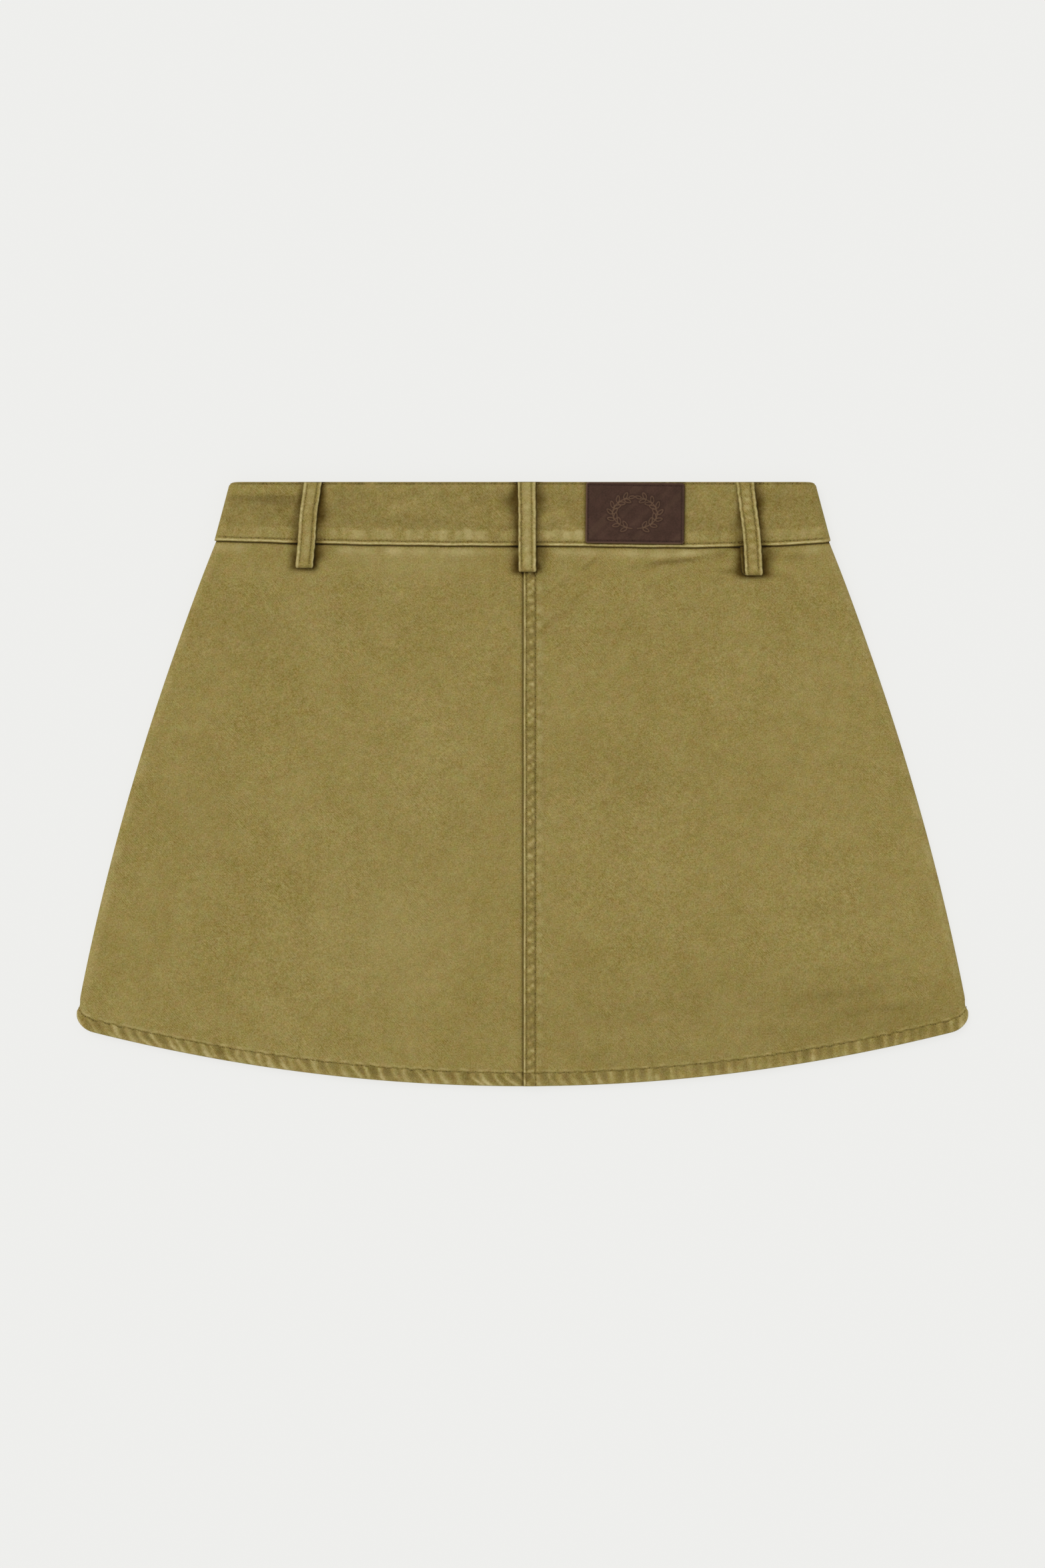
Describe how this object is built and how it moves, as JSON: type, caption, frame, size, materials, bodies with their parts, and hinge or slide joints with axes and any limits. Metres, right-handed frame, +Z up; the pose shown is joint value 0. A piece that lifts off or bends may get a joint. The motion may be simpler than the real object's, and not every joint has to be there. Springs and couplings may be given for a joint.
{
  "type": "mini skort laid flat",
  "caption": "Short flared skort in washed cotton twill, laid flat with its back up: waistband with belt loops and a leather patch, lapped centre seam, narrow hem, plain shorts inside.",
  "frame": {"origin": "on the table, under the middle of the flat garment's outline", "axes": "+X to the right of someone looking down at the back, +Y towards the waist, +Z up from the table"},
  "size_m": [0.5612, 0.38, 0.0139],
  "materials": {
    "twill": "garment-washed cotton twill, matt, worn lighter on the folded edges",
    "lining": "plain light cotton, matt",
    "leather": "dark brown leather with a dry, slightly burnished surface",
    "thread": "sewing thread a shade darker than the cloth",
    "button": "antique brass, softly polished"
  },
  "bodies": {
    "root": {"back_left": "twill", "back_right": "twill", "front_left": "twill", "front_right": "twill", "waistband": "twill", "belt_loop_back_left": "twill", "belt_loop_back_centre": "twill", "belt_loop_back_right": "twill", "belt_loop_front_left": "twill", "belt_loop_front_right": "twill", "button_tab": "twill", "shorts_back_left": "lining", "shorts_back_right": "lining", "shorts_front_left": "lining", "shorts_front_right": "lining", "patch": "leather", "button": "button"}
  },
  "joints": []
}
